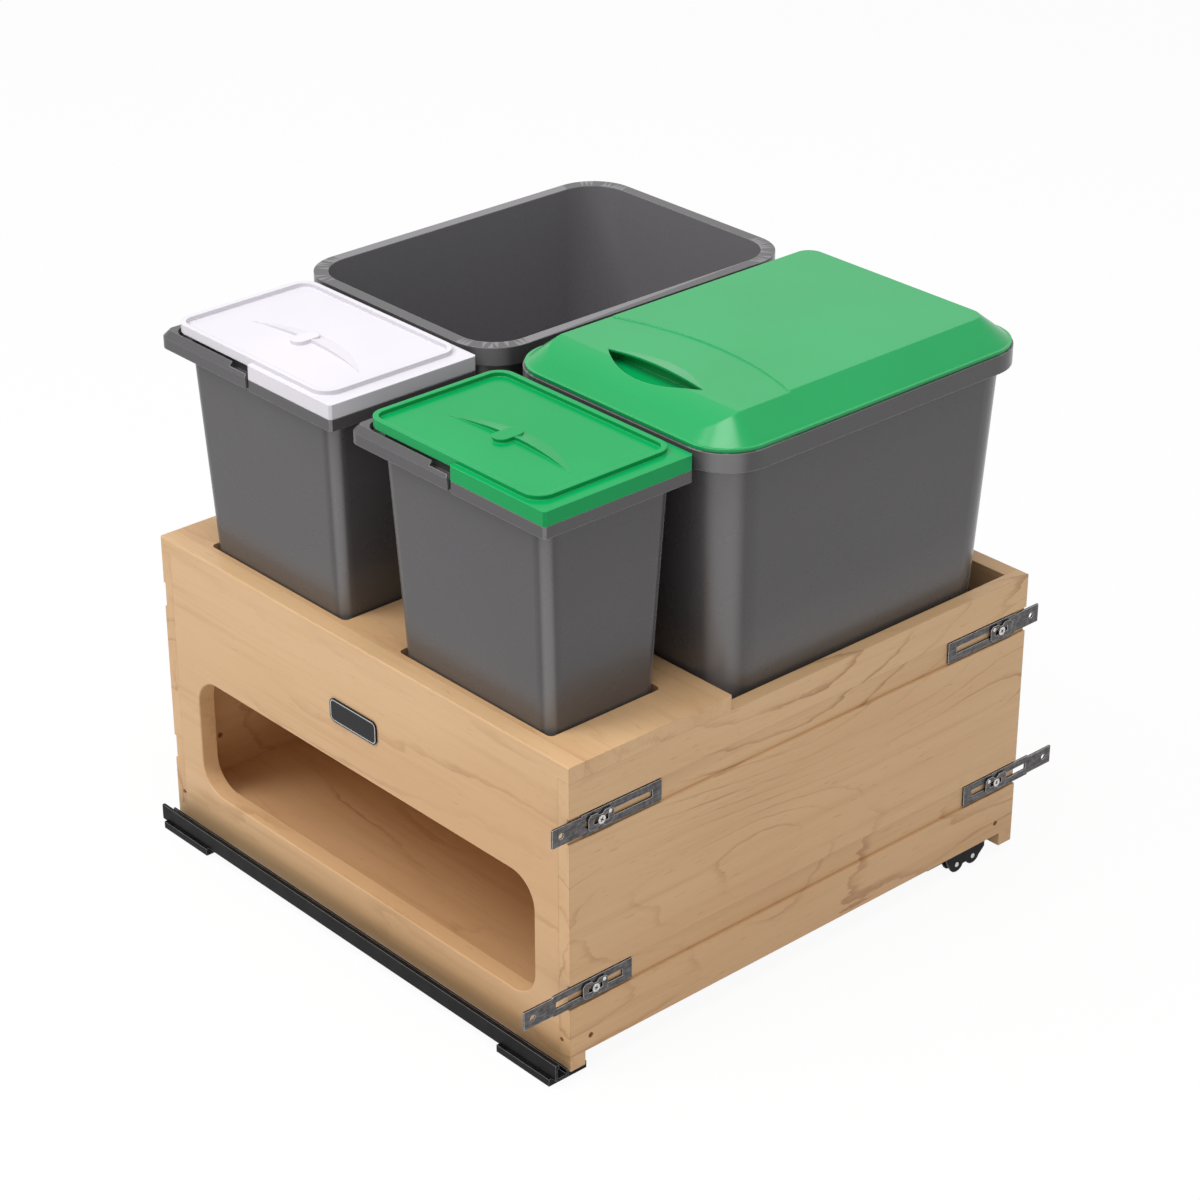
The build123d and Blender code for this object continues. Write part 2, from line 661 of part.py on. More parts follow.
def small_lid(middle_x):
    """Lid with a skirt round its right half, a raised bead, a finger grip and ribs in the mouth."""
    under = small_mouth + lid_gap
    top = under + lid_plate
    skirt_low = ledge_top + lid_gap
    right_mid = (rim_step_x + small_rim_x) / 2
    right_length = small_rim_x - rim_step_x
    bead_right = small_rim_x - bead_end
    bead_mid = (bead_right - lid_end_x) / 2
    bead_length = bead_right + lid_end_x
    mouth_x = small_top_x - small_wall - plug_gap
    mouth_y = small_top_y - small_wall - plug_gap
    with BuildPart() as lid:
        with BuildSketch(Plane((middle_x, small_mid_y, top))):
            with Locations((right_mid, 0)):
                add(bevelled_rectangle(right_length, 2 * small_rim_y, small_rim_bevel))
        extrude(amount=skirt_low - top)
        with BuildSketch(Plane((middle_x, small_mid_y, top))):
            with Locations((bead_mid, 0)):
                RectangleRounded(bead_length, 2 * lid_narrow_y, bead_round)
        extrude(amount=-lid_plate - lid_lip)
        # hollow below the plate
        with BuildSketch(Plane((middle_x, small_mid_y, under))):
            with Locations((right_mid, 0)):
                Rectangle(right_length - 2 * small_rim_thick, 2 * (small_rim_y - small_rim_thick))
            with Locations((bead_mid, 0)):
                RectangleRounded(bead_length - 2 * small_rim_thick, 2 * (lid_narrow_y - small_rim_thick / 2),
                                 bead_round - small_rim_thick)
        extrude(amount=skirt_low - under, mode=Mode.SUBTRACT)
        with BuildSketch(Plane((middle_x, small_mid_y, top))):
            with Locations((bead_mid, 0)):
                RectangleRounded(bead_length, 2 * lid_narrow_y, bead_round)
                RectangleRounded(bead_length - 2 * bead_width, 2 * (lid_narrow_y - bead_width),
                                 bead_round - bead_width, mode=Mode.SUBTRACT)
        extrude(amount=bead_height)
        with BuildSketch(Plane((middle_x, small_mid_y, under))):
            for side in (-1, 1):
                with Locations((0, side * (mouth_y - plug_wall / 2))):
                    Rectangle(2 * mouth_x * plug_share, plug_wall)
                with Locations((side * (mouth_x - plug_wall / 2), 0)):
                    Rectangle(plug_wall, 2 * mouth_y * plug_share)
        extrude(amount=-plug_depth)
        # grip with a concave front face and a nose for the thumb
        grip_y = small_mid_y - grip_front
        with BuildPart(mode=Mode.PRIVATE) as grip:
            add(raised_crown(middle_x, grip_y, top, grip_half, grip_rise, grip_run))
            with BuildSketch(Plane((middle_x, grip_y, top))):
                with BuildLine():
                    ThreePointArc((-grip_half, 0), (0, grip_bow), (grip_half, 0))
                    Line((grip_half, 0), (grip_half, -grip_bow))
                    Line((grip_half, -grip_bow), (-grip_half, -grip_bow))
                    Line((-grip_half, -grip_bow), (-grip_half, 0))
                make_face()
            extrude(amount=2 * grip_rise, mode=Mode.SUBTRACT)
        add(grip.part)
        with BuildSketch(Plane((middle_x + thumb_x, grip_y + grip_bow, top))):
            SlotOverall(2 * thumb_reach + thumb_width, thumb_width, rotation=90)
        extrude(amount=grip_rise * (1 - grip_bow / grip_run))
    return lid.part


def bail_handle(middle_x):
    """Bar and two arms folded round the left half of the rim, pinned into it at the middle."""
    low = ledge_top - bail_skirt
    rest = ledge_top + bail_rest
    high = ledge_top + bail_rise
    flange_y = lid_narrow_y + bail_lid_gap
    flange_x = lid_end_x + bail_end_gap
    span = bail_end_x + pivot_x
    reach = 2 * bail_end_x
    with BuildPart() as bail:
        # bar and arms up to the pivot, cut from a rounded rectangle
        with BuildSketch(Plane((middle_x, small_mid_y, low))):
            RectangleRounded(reach, 2 * bail_half_y, bail_round)
        extrude(amount=high - low)
        chamfer(bail.faces().sort_by(Axis.Z)[-1].edges(), bail_bevel)
        with BuildSketch(Plane((middle_x, small_mid_y, rest))):
            add(bevelled_rectangle(reach - 2 * bail_wall, 2 * (bail_half_y - bail_wall), bail_inner_bevel))
        extrude(amount=low - rest, mode=Mode.SUBTRACT)
        with BuildSketch(Plane((middle_x, small_mid_y, high))):
            RectangleRounded(2 * flange_x, 2 * flange_y, bead_round)
        extrude(amount=rest - high, mode=Mode.SUBTRACT)
        # arms end in an arc about the pivot
        end_plane = Plane((middle_x + pivot_x, small_mid_y, pivot_z), x_dir=(1, 0, 0), z_dir=(0, -1, 0))
        with BuildSketch(end_plane):
            with Locations((-bail_end_x, 0)):
                Rectangle(2 * bail_end_x, 2 * reach)
            Circle(bail_end_r)
        extrude(amount=2 * bail_half_y, both=True, mode=Mode.INTERSECT)
        with Locations((middle_x + pivot_x - bail_flange_stop + span, small_mid_y, (rest + high) / 2)):
            Box(2 * span, 2 * (bail_half_y - bail_wall), 2 * (high - rest), mode=Mode.SUBTRACT)
        # pins through the rim
        for side in (-1, 1):
            pin_y = small_mid_y + side * bail_half_y
            with BuildSketch(Plane((middle_x + pivot_x, pin_y, pivot_z), z_dir=(0, -side, 0))):
                Circle(pivot_pin_r)
            extrude(amount=bail_wall + 2 * bail_play + small_rim_thick)
    return bail.part


for name, middle_x in (("left", -small_x), ("right", small_x)):
    write(small_bin(middle_x), "small_bin_" + name)
    write(small_lid(middle_x), "small_lid_" + name)
    write(bail_handle(middle_x), "bail_handle_" + name)


# ---------------------------------------------------------------- slides
def lipped_channel(height):
    """Channel section open at the top, with both edges turned inwards."""
    with BuildSketch(mode=Mode.PRIVATE) as section:
        with Locations((0, height / 2)):
            Rectangle(slide_width, height)
            Rectangle(slide_width - 2 * slide_sheet, height - 2 * slide_sheet, mode=Mode.SUBTRACT)
        with Locations((0, height)):
            Rectangle(slide_width - 2 * slide_lip, 4 * slide_sheet, mode=Mode.SUBTRACT)
    return section.sketch


def cabinet_track(side):
    with BuildPart() as track:
        with BuildSketch(Plane((side * slide_x, track_front, 0), x_dir=(1, 0, 0), z_dir=(0, -1, 0))):
            add(lipped_channel(track_height))
        extrude(amount=-slide_length)
        with Locations(
            (side * slide_x, -floor_screw_spacing / 2, 0),
            (side * slide_x, floor_screw_spacing / 2, 0),
        ):
            Cylinder(floor_screw_bore / 2, 4 * slide_sheet, mode=Mode.SUBTRACT)
    return track.part


def tray_runner(side):
    with BuildPart() as runner:
        runner_place = (side * slide_x, slide_front, base_under)
        with BuildSketch(Plane(runner_place, x_dir=(-1, 0, 0), z_dir=(0, -1, 0))):
            add(lipped_channel(runner_height))
        extrude(amount=-slide_length)
    return runner.part


beam_width = slide_width - 2 * slide_sheet - 2 * beam_side_play
beam_low = track_height - slide_sheet - beam_lip_play - beam_flange
beam_high = runner_under + slide_sheet + beam_lip_play


def slide_beam(side):
    """Middle member: one flange inside the cabinet track, one inside the tray runner, and a web."""
    with BuildPart() as beam:
        beam_place = (side * slide_x, slide_front + track_setback / 2, 0)
        with BuildSketch(Plane(beam_place, x_dir=(1, 0, 0), z_dir=(0, -1, 0))):
            with Locations((0, beam_low + beam_flange / 2), (0, beam_high + beam_flange / 2)):
                Rectangle(beam_width, beam_flange)
            with Locations((0, (beam_low + beam_high + beam_flange) / 2)):
                Rectangle(beam_web, beam_high - beam_low)
        extrude(amount=-slide_length)
    return beam.part


def bearing_blocks(side):
    """Nylon blocks at both ends of the middle member, above and below its flanges."""
    low_height = beam_low - slide_sheet - block_play
    high_base = beam_high + beam_flange
    high_height = base_under - slide_sheet - block_play - high_base
    front = slide_front + block_inset + block_length / 2
    rear = slide_front + slide_length - block_inset - block_length / 2
    with BuildPart() as blocks:
        with Locations(*[(side * slide_x, y, beam_low - low_height / 2) for y in (front, rear)]):
            Box(beam_width, block_length, low_height)
            Box(block_channel, block_length, low_height, mode=Mode.SUBTRACT)
        with Locations(*[(side * slide_x, y, high_base + high_height / 2) for y in (front, rear)]):
            Box(beam_width, block_length, high_height)
            Box(block_channel, block_length, high_height, mode=Mode.SUBTRACT)
    return blocks.part


def rear_bracket(side):
    """Bent steel bracket beside the rear end of a cabinet track, with a bolt through its web."""
    rear = track_rear - bracket_rear_inset
    middle_y = rear - bracket_length / 2
    with BuildPart() as bracket:
        with Locations((side * (slide_outer + bracket_width / 2), middle_y, bracket_sheet / 2)):
            Box(bracket_width, bracket_length, bracket_sheet)
        with BuildSketch(Plane((side * bracket_outer, middle_y, 0), x_dir=(0, side, 0), z_dir=(side, 0, 0))):
            with BuildLine():
                half = bracket_length / 2
                Polyline(
                    (-half, 0),
                    (half, 0),
                    (half, bracket_web_height / 2),
                    (half / 2, bracket_web_height),
                    (-half / 2, bracket_web_height),
                    (-half, bracket_web_height / 2),
                    close=True,
                )
            make_face()
        extrude(amount=-bracket_sheet)
        web_inner = side * (bracket_outer - bracket_sheet)
        with BuildSketch(Plane((web_inner, middle_y, bracket_web_height / 2), z_dir=(-side, 0, 0))):
            RegularPolygon(bracket_bolt_r, 6)
        extrude(amount=bracket_bolt_head)
    return bracket.part


def slide_clip(side):
    """Angle clip from the side of a tray runner out to the side panel, behind the front panel."""
    top = clip_low + clip_height
    across_x = side * (slide_outer + clip_outer) / 2
    along_x = side * (slide_outer + clip_sheet / 2)
    with BuildPart() as clip:
        with Locations((across_x, inner_front + clip_sheet / 2, (clip_low + top) / 2)):
            Box(clip_outer - slide_outer, clip_sheet, clip_height)
        with Locations((along_x, inner_front + clip_length / 2, (runner_under + top) / 2)):
            Box(clip_sheet, clip_length, top - runner_under)
    return clip.part


for name, side in (("left", -1), ("right", 1)):
    write(cabinet_track(side), "cabinet_track_" + name)
    write(slide_beam(side), "slide_beam_" + name)
    write(bearing_blocks(side), "bearing_blocks_" + name)
    write(tray_runner(side), "tray_runner_" + name)
    write(rear_bracket(side), "rear_bracket_" + name)
    write(slide_clip(side), "slide_clip_" + name)

# ---------------------------------------------------------------- front cross rail
rail_y = front_y - rail_front
with BuildPart() as cross_rail:
    with BuildSketch(Plane((-half_width - rail_over, 0, 0), x_dir=(0, 1, 0), z_dir=(1, 0, 0))):
        with Locations((rail_y + rail_sheet / 2, box_low + rail_height / 2)):
            Rectangle(rail_sheet, rail_height)
        with Locations((rail_y + rail_depth / 2, box_low + rail_sheet / 2)):
            Rectangle(rail_depth, rail_sheet)
        with Locations((rail_y + rail_depth - rail_sheet / 2, box_low + rail_back / 2)):
            Rectangle(rail_sheet, rail_back)
        with Locations((rail_y + rail_lip_r, box_low + rail_height - rail_lip_r)):
            Circle(rail_lip_r)
    extrude(amount=box_width + 2 * rail_over)
write(cross_rail.part, "cross_rail")


def rail_foot(side):
    """Flat foot under the rail and the front panel, with a stem up behind the panel."""
    lead_y = rail_y - foot_lead
    with BuildPart() as foot:
        with Locations((side * foot_x, (lead_y + slide_front) / 2, box_low - foot_thick / 2)):
            Box(foot_width, slide_front - lead_y, foot_thick)
        with Locations((side * stem_x, (inner_front + slide_front) / 2, box_low + foot_stem_height / 2)):
            Box(slide_outer - stem_inner, slide_front - inner_front, foot_stem_height)
    return foot.part


write(rail_foot(-1), "rail_foot_left")
write(rail_foot(1), "rail_foot_right")

# ---------------------------------------------------------------- door brackets
def door_bracket(end, level, reach):
    """Slotted steel plate that slides in a groove of the right side panel."""
    tip = end * (half_depth + reach)
    tab_mid = tip - end * plate_tab / 2
    body_mid = tip - end * (plate_tab + plate_length) / 2
    slot_mid = tip - end * (slot_start + slot_length / 2)
    with BuildPart() as plate:
        with BuildSketch(Plane((plate_inner, 0, level), x_dir=(0, 1, 0), z_dir=(1, 0, 0))):
            with Locations((body_mid, 0)):
                Rectangle(plate_length - plate_tab, plate_height)
            with Locations((tab_mid, 0)):
                Rectangle(plate_tab, plate_tab_height)
            with Locations((slot_mid, 0)):
                Rectangle(slot_length, slot_width, mode=Mode.SUBTRACT)
            with Locations((tip - end * plate_hole_inset, 0)):
                Circle(plate_hole_r, mode=Mode.SUBTRACT)
        extrude(amount=plate_thick)
    return plate.part


for name, end, level, reach, _ in door_brackets:
    write(door_bracket(end, level, reach), "door_bracket_" + name)

clamp_face = Plane((clamp_inner, 0, 0), x_dir=(0, 1, 0), z_dir=(1, 0, 0))
lobe_start = clamp_length / 2 - clamp_lobe
waist_slope = (clamp_height - clamp_waist) / 2
clamp_quarter = [
    (clamp_length / 2, clamp_height / 2 - clamp_corner),
    (clamp_length / 2 - clamp_corner, clamp_height / 2),
    (lobe_start, clamp_height / 2),
    (lobe_start - waist_slope, clamp_waist / 2),
]
clamp_top = clamp_quarter + [(-x, y) for x, y in reversed(clamp_quarter)]
clamp_outline = clamp_top + [(x, -y) for x, y in reversed(clamp_top)]
with BuildPart() as bracket_clamps:
    with BuildSketch(clamp_face):
        with Locations(*bracket_screw_places):
            Polygon(*clamp_outline)
            Rectangle(clamp_slot_length, clamp_slot_width, mode=Mode.SUBTRACT)
    extrude(amount=clamp_thick)
write(bracket_clamps.part, "bracket_clamps")

with BuildPart() as bracket_screws:
    with BuildSketch(clamp_face.offset(clamp_thick)):
        with Locations(*bracket_screw_places):
            RegularPolygon(screw_head_r, 12)
    extrude(amount=screw_head_h)
    with BuildSketch(clamp_face.offset(clamp_thick)):
        with Locations(*bracket_screw_places):
            RegularPolygon(screw_shank_r, 6)
    extrude(amount=groove_bottom - screw_depth - clamp_inner - clamp_thick)
write(bracket_screws.part, "bracket_screws")
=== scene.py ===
import json
import math

import bmesh
import bpy
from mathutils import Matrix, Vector


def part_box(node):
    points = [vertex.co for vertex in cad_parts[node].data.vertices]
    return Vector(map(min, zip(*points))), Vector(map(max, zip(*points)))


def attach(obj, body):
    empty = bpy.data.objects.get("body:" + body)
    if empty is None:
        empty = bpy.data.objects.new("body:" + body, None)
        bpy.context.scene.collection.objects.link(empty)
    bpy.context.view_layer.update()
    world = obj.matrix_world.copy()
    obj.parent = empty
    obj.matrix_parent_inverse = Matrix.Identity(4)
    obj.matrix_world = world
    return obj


# Looks of the pull-out waste cabinet: maple boards, moulded bins and lids, plated and black-coated steel,
# on a plain white floor under soft studio light. Metres throughout.

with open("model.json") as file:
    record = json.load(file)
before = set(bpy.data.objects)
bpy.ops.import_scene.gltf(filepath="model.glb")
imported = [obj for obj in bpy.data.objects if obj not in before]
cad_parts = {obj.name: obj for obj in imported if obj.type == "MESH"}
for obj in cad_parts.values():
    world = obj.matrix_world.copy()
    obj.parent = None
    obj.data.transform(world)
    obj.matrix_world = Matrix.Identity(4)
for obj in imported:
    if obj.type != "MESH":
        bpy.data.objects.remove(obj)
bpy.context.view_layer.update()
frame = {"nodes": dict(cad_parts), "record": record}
nodes = frame["nodes"]


def centre_of(name):
    """Centre of a CAD node's box."""
    lowest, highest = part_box(name)
    return tuple((low + high) / 2 for low, high in zip(lowest, highest))


# ---------------------------------------------------------------- colours (linear)
MAPLE_PALE = (0.70, 0.455, 0.245, 1)
MAPLE_WARM = (0.63, 0.385, 0.195, 1)
MAPLE_STREAK = (0.50, 0.275, 0.120, 1)
MAPLE_LINE = (0.34, 0.150, 0.055, 1)
BIN_GREY = (0.084, 0.080, 0.084, 1)
BIN_GREY_DEEP = (0.078, 0.074, 0.078, 1)
# painted warm reflection of the top board on the bins' lower part
BIN_PAINTED_REFLECTION = (0.132, 0.116, 0.105, 1)
# painted light on the inner faces of the large bins
BIN_INSIDE_PAINTED_LIGHT = (0.185, 0.177, 0.186, 1)
# painted highlight on the bins' edges and upright corners
BIN_HIGHLIGHT = (0.36, 0.35, 0.355, 1)
LID_GREEN = (0.002, 0.350, 0.094, 1)
LID_GREEN_DEEP = (0.0015, 0.325, 0.084, 1)
# painted highlight on the green lids' edges
LID_GREEN_HIGHLIGHT = (0.12, 0.60, 0.26, 1)
LID_WHITE = (0.735, 0.705, 0.755, 1)
LID_WHITE_DEEP = (0.70, 0.672, 0.72, 1)
# painted highlight on the edges of the white lid and the nylon parts
LID_WHITE_HIGHLIGHT = (0.88, 0.87, 0.90, 1)
NYLON = (0.70, 0.69, 0.64, 1)
ZINC_LIGHT = (0.19, 0.18, 0.18, 1)
ZINC_DARK = (0.045, 0.043, 0.045, 1)
# pale zinc of the rivets and screws, and the painted highlight on plated edges
ZINC_PALE_AND_HIGHLIGHT = (0.80, 0.79, 0.78, 1)
SLIDE_LIGHT = (0.46, 0.45, 0.45, 1)
SLIDE_DARK = (0.20, 0.195, 0.20, 1)
# painted shade in the screws' cross recesses
RECESS_PAINTED_SHADE = (0.02, 0.02, 0.02, 1)
BLACK_COAT = (0.004, 0.004, 0.0045, 1)
BLACK_COAT_LIGHT = (0.009, 0.009, 0.010, 1)
# painted highlight on the black coat's edges
BLACK_COAT_HIGHLIGHT = (0.30, 0.30, 0.305, 1)
PLAQUE_BLACK = (0.004, 0.004, 0.005, 1)
PLAQUE_LINE = (0.55, 0.57, 0.58, 1)
FLOOR_WHITE = (0.93, 0.93, 0.93, 1)
WHITE = (1, 1, 1, 1)

# ---------------------------------------------------------------- sizes (metres)
WOOD_EDGE = 0.0009              # the rounding drawn on the sharp edges of each finish
PLASTIC_EDGE = 0.0012
BRACKET_EDGE = 0.0007
STEEL_EDGE = 0.00035

BOARD_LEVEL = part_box("top_board")[1][2]
PAINTED_REFLECTION_TOP = BOARD_LEVEL + 0.059     # the painted warm reflection of the wood on the bins starts here
PAINTED_REFLECTION_FULL = BOARD_LEVEL - 0.031      # and is full from here down

PLAQUE_CENTRE = centre_of("blank_plaque")
PLAQUE_HALF_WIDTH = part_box("blank_plaque")[1][0] - PLAQUE_CENTRE[0]
PLAQUE_HALF_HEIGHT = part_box("blank_plaque")[1][2] - PLAQUE_CENTRE[2]
PLAQUE_ROUND = 0.0055
PLAQUE_LINE_INSET = 0.0014
PLAQUE_LINE_HALF = 0.00028

SCREW_HEAD_RADIUS = 0.0038
UPPER_SCREW_SHIFT = 0.006           # the upper screws are this much nearer to the middle of the side
screws_low, screws_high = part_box("bracket_screws")
# Y and Z of the heads at the rear, which those at the front mirror
LOWER_SCREW = (screws_high[1] - SCREW_HEAD_RADIUS, screws_low[2] + SCREW_HEAD_RADIUS)
UPPER_SCREW = (LOWER_SCREW[0] - UPPER_SCREW_SHIFT, screws_high[2] - SCREW_HEAD_RADIUS)
CROSS_REACH = 0.0021
CROSS_HALF = 0.00055
CROSS_SLOPE = 0.5                   # how far the cross is turned from upright


# ---------------------------------------------------------------- node helpers
def fill(tree, sockets, values):
    """Gives the named sockets their values: a plain value is set, and another node's socket is linked."""
    for name, value in values.items():
        if isinstance(value, bpy.types.NodeSocket):
            tree.links.new(value, sockets[name])
        else:
            sockets[name].default_value = value


def add_node(tree, kind, inputs=None, **settings):
    """Adds a node, sets its properties and fills its inputs."""
    made = tree.nodes.new(kind)
    for name, value in settings.items():
        setattr(made, name, value)
    fill(tree, made.inputs, inputs or {})
    return made


def math_node(tree, operation, first, second=None):
    inputs = {0: first} if second is None else {0: first, 1: second}
    return add_node(tree, "ShaderNodeMath", inputs, operation=operation).outputs[0]


def plus(tree, first, second):
    return math_node(tree, "ADD", first, second)


def minus(tree, first, second):
    return math_node(tree, "SUBTRACT", first, second)


def times(tree, first, second):
    return math_node(tree, "MULTIPLY", first, second)


def vector_math(tree, operation, first, second=None):
    """Outputs of a vector calculation: Vector where it gives a vector, and Value where it gives a number."""
    inputs = {0: first} if second is None else {0: first, 1: second}
    return add_node(tree, "ShaderNodeVectorMath", inputs, operation=operation).outputs


def split_axes(tree, vector):
    return add_node(tree, "ShaderNodeSeparateXYZ", {"Vector": vector}).outputs


def join_axes(tree, x, y, z=0.0):
    return add_node(tree, "ShaderNodeCombineXYZ", {"X": x, "Y": y, "Z": z}).outputs["Vector"]


def ramp(tree, value, low, high):
    """Smooth step of a value from low to high, as 0 to 1."""
    inputs = {"Value": value, "From Min": low, "From Max": high}
    return add_node(tree, "ShaderNodeMapRange", inputs, interpolation_type="SMOOTHSTEP").outputs["Result"]


def spread(tree, value, low, high):
    """Spreads a value of 0 to 1 evenly over low to high."""
    inputs = {"Value": value, "To Min": low, "To Max": high}
    return add_node(tree, "ShaderNodeMapRange", inputs).outputs["Result"]


COLOUR_A, COLOUR_B, COLOUR_RESULT = 6, 7, 2     # places of the colour sockets on a Mix node


def mix_colour(tree, factor, first, second):
    made = add_node(tree, "ShaderNodeMix", {"Factor": factor}, data_type="RGBA")
    fill(tree, made.inputs, {COLOUR_A: first, COLOUR_B: second})
    return made.outputs[COLOUR_RESULT]


def tint(tree, body, colour, mask, strength):
    """Lays a colour over the body colour where the mask says, at most at that strength."""
    return mix_colour(tree, times(tree, mask, strength), body, colour)


def noise(tree, position, scale, detail=3.0, roughness=0.5):
    inputs = {"Vector": position, "Scale": scale, "Detail": detail, "Roughness": roughness}
    return add_node(tree, "ShaderNodeTexNoise", inputs).outputs["Fac"]


def drawn_noise(tree, position, along, across, shift=(0.0, 0.0, 0.0), scale=1.6, detail=2.0, roughness=0.5):
    """Noise drawn out along X: the position is scaled by along on X and by across on Y and Z."""
    inputs = {"Vector": position, "Location": shift, "Scale": (along, across, across)}
    stretched = add_node(tree, "ShaderNodeMapping", inputs).outputs["Vector"]
    return noise(tree, stretched, scale, detail, roughness)


def place(tree, turn=(0.0, 0.0, 0.0), offset=(0.0, 0.0, 0.0)):
    """Object coordinates, turned and moved."""
    where = tree.nodes.new("ShaderNodeTexCoord").outputs["Object"]
    inputs = {"Vector": where, "Rotation": turn, "Location": offset}
    return add_node(tree, "ShaderNodeMapping", inputs).outputs["Vector"]


def bump(tree, height, distance, strength, normal):
    inputs = {"Height": height, "Distance": distance, "Strength": strength, "Normal": normal}
    return add_node(tree, "ShaderNodeBump", inputs).outputs["Normal"]


def new_group(name, inputs, outputs, kind="ShaderNodeTree"):
    """Starts a node group with the named inputs and outputs."""
    group = bpy.data.node_groups.new(name, kind)
    for title, socket_kind in inputs.items():
        group.interface.new_socket(title, in_out="INPUT", socket_type="NodeSocket" + socket_kind)
    for title, socket_kind in outputs.items():
        group.interface.new_socket(title, in_out="OUTPUT", socket_type="NodeSocket" + socket_kind)
    return group, group.nodes.new("NodeGroupInput").outputs, group.nodes.new("NodeGroupOutput").inputs


def use_group(tree, group, inputs):
    return add_node(tree, "ShaderNodeGroup", inputs, node_tree=group).outputs


def new_material(name):
    material = bpy.data.materials.new(name)
    material.use_nodes = True
    return material, material.node_tree, material.node_tree.nodes["Principled BSDF"]


def seen_rays(tree):
    """Marks what is seen by the camera, in reflections or through glass."""
    path = tree.nodes.new("ShaderNodeLightPath").outputs
    seen = math_node(tree, "MAXIMUM", path["Is Camera Ray"], path["Is Glossy Ray"])
    return math_node(tree, "MAXIMUM", seen, path["Is Transmission Ray"])


# ---------------------------------------------------------------- shared surface effects
def soft_edge_group():
    """Rounds sharp edges in the shading, and marks them."""
    group, start, end = new_group("soft_edge", {"Radius": "Float"}, {"Normal": "Vector", "Edge": "Float"})
    rounded = add_node(group, "ShaderNodeBevel", {"Radius": start["Radius"]}, samples=6).outputs["Normal"]
    plain = group.nodes.new("ShaderNodeNewGeometry").outputs["Normal"]
    alike = vector_math(group, "DOT_PRODUCT", rounded, plain)["Value"]
    edge = ramp(group, minus(group, 1.0, alike), low=0.01, high=0.16)
    fill(group, end, {"Normal": rounded, "Edge": edge})
    return group


RINGS_PER_METRE = 17.0
RING_RAGGED = 0.50              # how far fine noise shifts a growth ring's line, in rings
RING_RISE = 0.03                # share of a ring over which its line darkens
RING_FADE = 0.26                # share of a ring at which the line has faded again
RING_FALL = 2.2                 # how steeply it fades
FLECK_DEPTH = 0.5               # depth of a fleck, against the grain's height


def maple_group():
    """Maple veneer: growth-ring lines, dark on one side and fading on the other, streaks, grain, flecks."""
    group, start, end = new_group("maple_board",
                                  {"Position": "Vector", "Figure": "Float", "Wander": "Float"},
                                  {"Color": "Color", "Roughness": "Float", "Height": "Float"})
    position = start["Position"]
    wavy = drawn_noise(group, position, along=1.5, across=4.6, shift=(3.0, 1.0, 7.0),
                       scale=1.5, detail=1.5, roughness=0.4)
    ragged = drawn_noise(group, position, along=14.0, across=60.0, shift=(1.0, 8.0, 4.0),
                         scale=1.5, detail=3.0, roughness=0.6)
    patchy = drawn_noise(group, position, along=3.2, across=9.0, shift=(9.0, 4.0, 2.0))
    broad = drawn_noise(group, position, along=1.1, across=5.5)
    streak = drawn_noise(group, position, along=1.8, across=55.0, shift=(2.0, 6.0, 1.0),
                         detail=4.0, roughness=0.6)
    grain = drawn_noise(group, position, along=11.0, across=330.0, detail=4.0, roughness=0.62)
    speckle = drawn_noise(group, position, along=40.0, across=380.0, shift=(5.0, 5.0, 5.0), scale=1.5)

    axes = split_axes(group, position)
    straight = times(group, plus(group, axes["Y"], axes["Z"]), RINGS_PER_METRE)
    wandering = plus(group, straight, times(group, wavy, start["Wander"]))
    ring = math_node(group, "FRACT", plus(group, wandering, times(group, ragged, RING_RAGGED)))
    faded = minus(group, 1.0, ramp(group, ring, RING_RISE, RING_FADE))
    line = times(group, ramp(group, ring, 0.0, RING_RISE), math_node(group, "POWER", faded, RING_FALL))
    shown = times(group, line, ramp(group, patchy, low=0.36, high=0.70))
    figure = times(group, shown, start["Figure"])
    fleck = ramp(group, speckle, low=0.64, high=0.78)

    tone = mix_colour(group, ramp(group, broad, low=0.34, high=0.68), MAPLE_PALE, MAPLE_WARM)
    tone = tint(group, tone, MAPLE_STREAK, ramp(group, streak, low=0.46, high=0.80), strength=0.42)
    tone = tint(group, tone, MAPLE_LINE, figure, strength=0.68)
    tone = tint(group, tone, MAPLE_STREAK, ramp(group, grain, low=0.50, high=0.78), strength=0.20)
    tone = tint(group, tone, MAPLE_LINE, fleck, strength=0.34)
    rough = spread(group, grain, low=0.40, high=0.54)
    height = minus(group, grain, times(group, fleck, FLECK_DEPTH))
    fill(group, end, {"Color": tone, "Roughness": rough, "Height": height})
    return group


def moulded_group():
    """Moulded plastic: a slow tone change, a fine spark texture and faint flow in the gloss."""
    group, start, end = new_group("moulded_skin", {"Position": "Vector"},
                                  {"Tone": "Float", "Gloss": "Float", "Height": "Float"})
    position = start["Position"]
    tone = ramp(group, noise(group, position, scale=7.0), low=0.3, high=0.7)
    gloss = noise(group, position, scale=22.0, detail=4.0, roughness=0.6)
    height = noise(group, position, scale=1100.0, detail=2.0, roughness=0.6)
    fill(group, end, {"Tone": tone, "Gloss": gloss, "Height": height})
    return group


QUARTER_TURN = math.radians(90)
SCRATCH_SHARE = 0.55            # scratches in the plating's mottle, and spots make up the rest


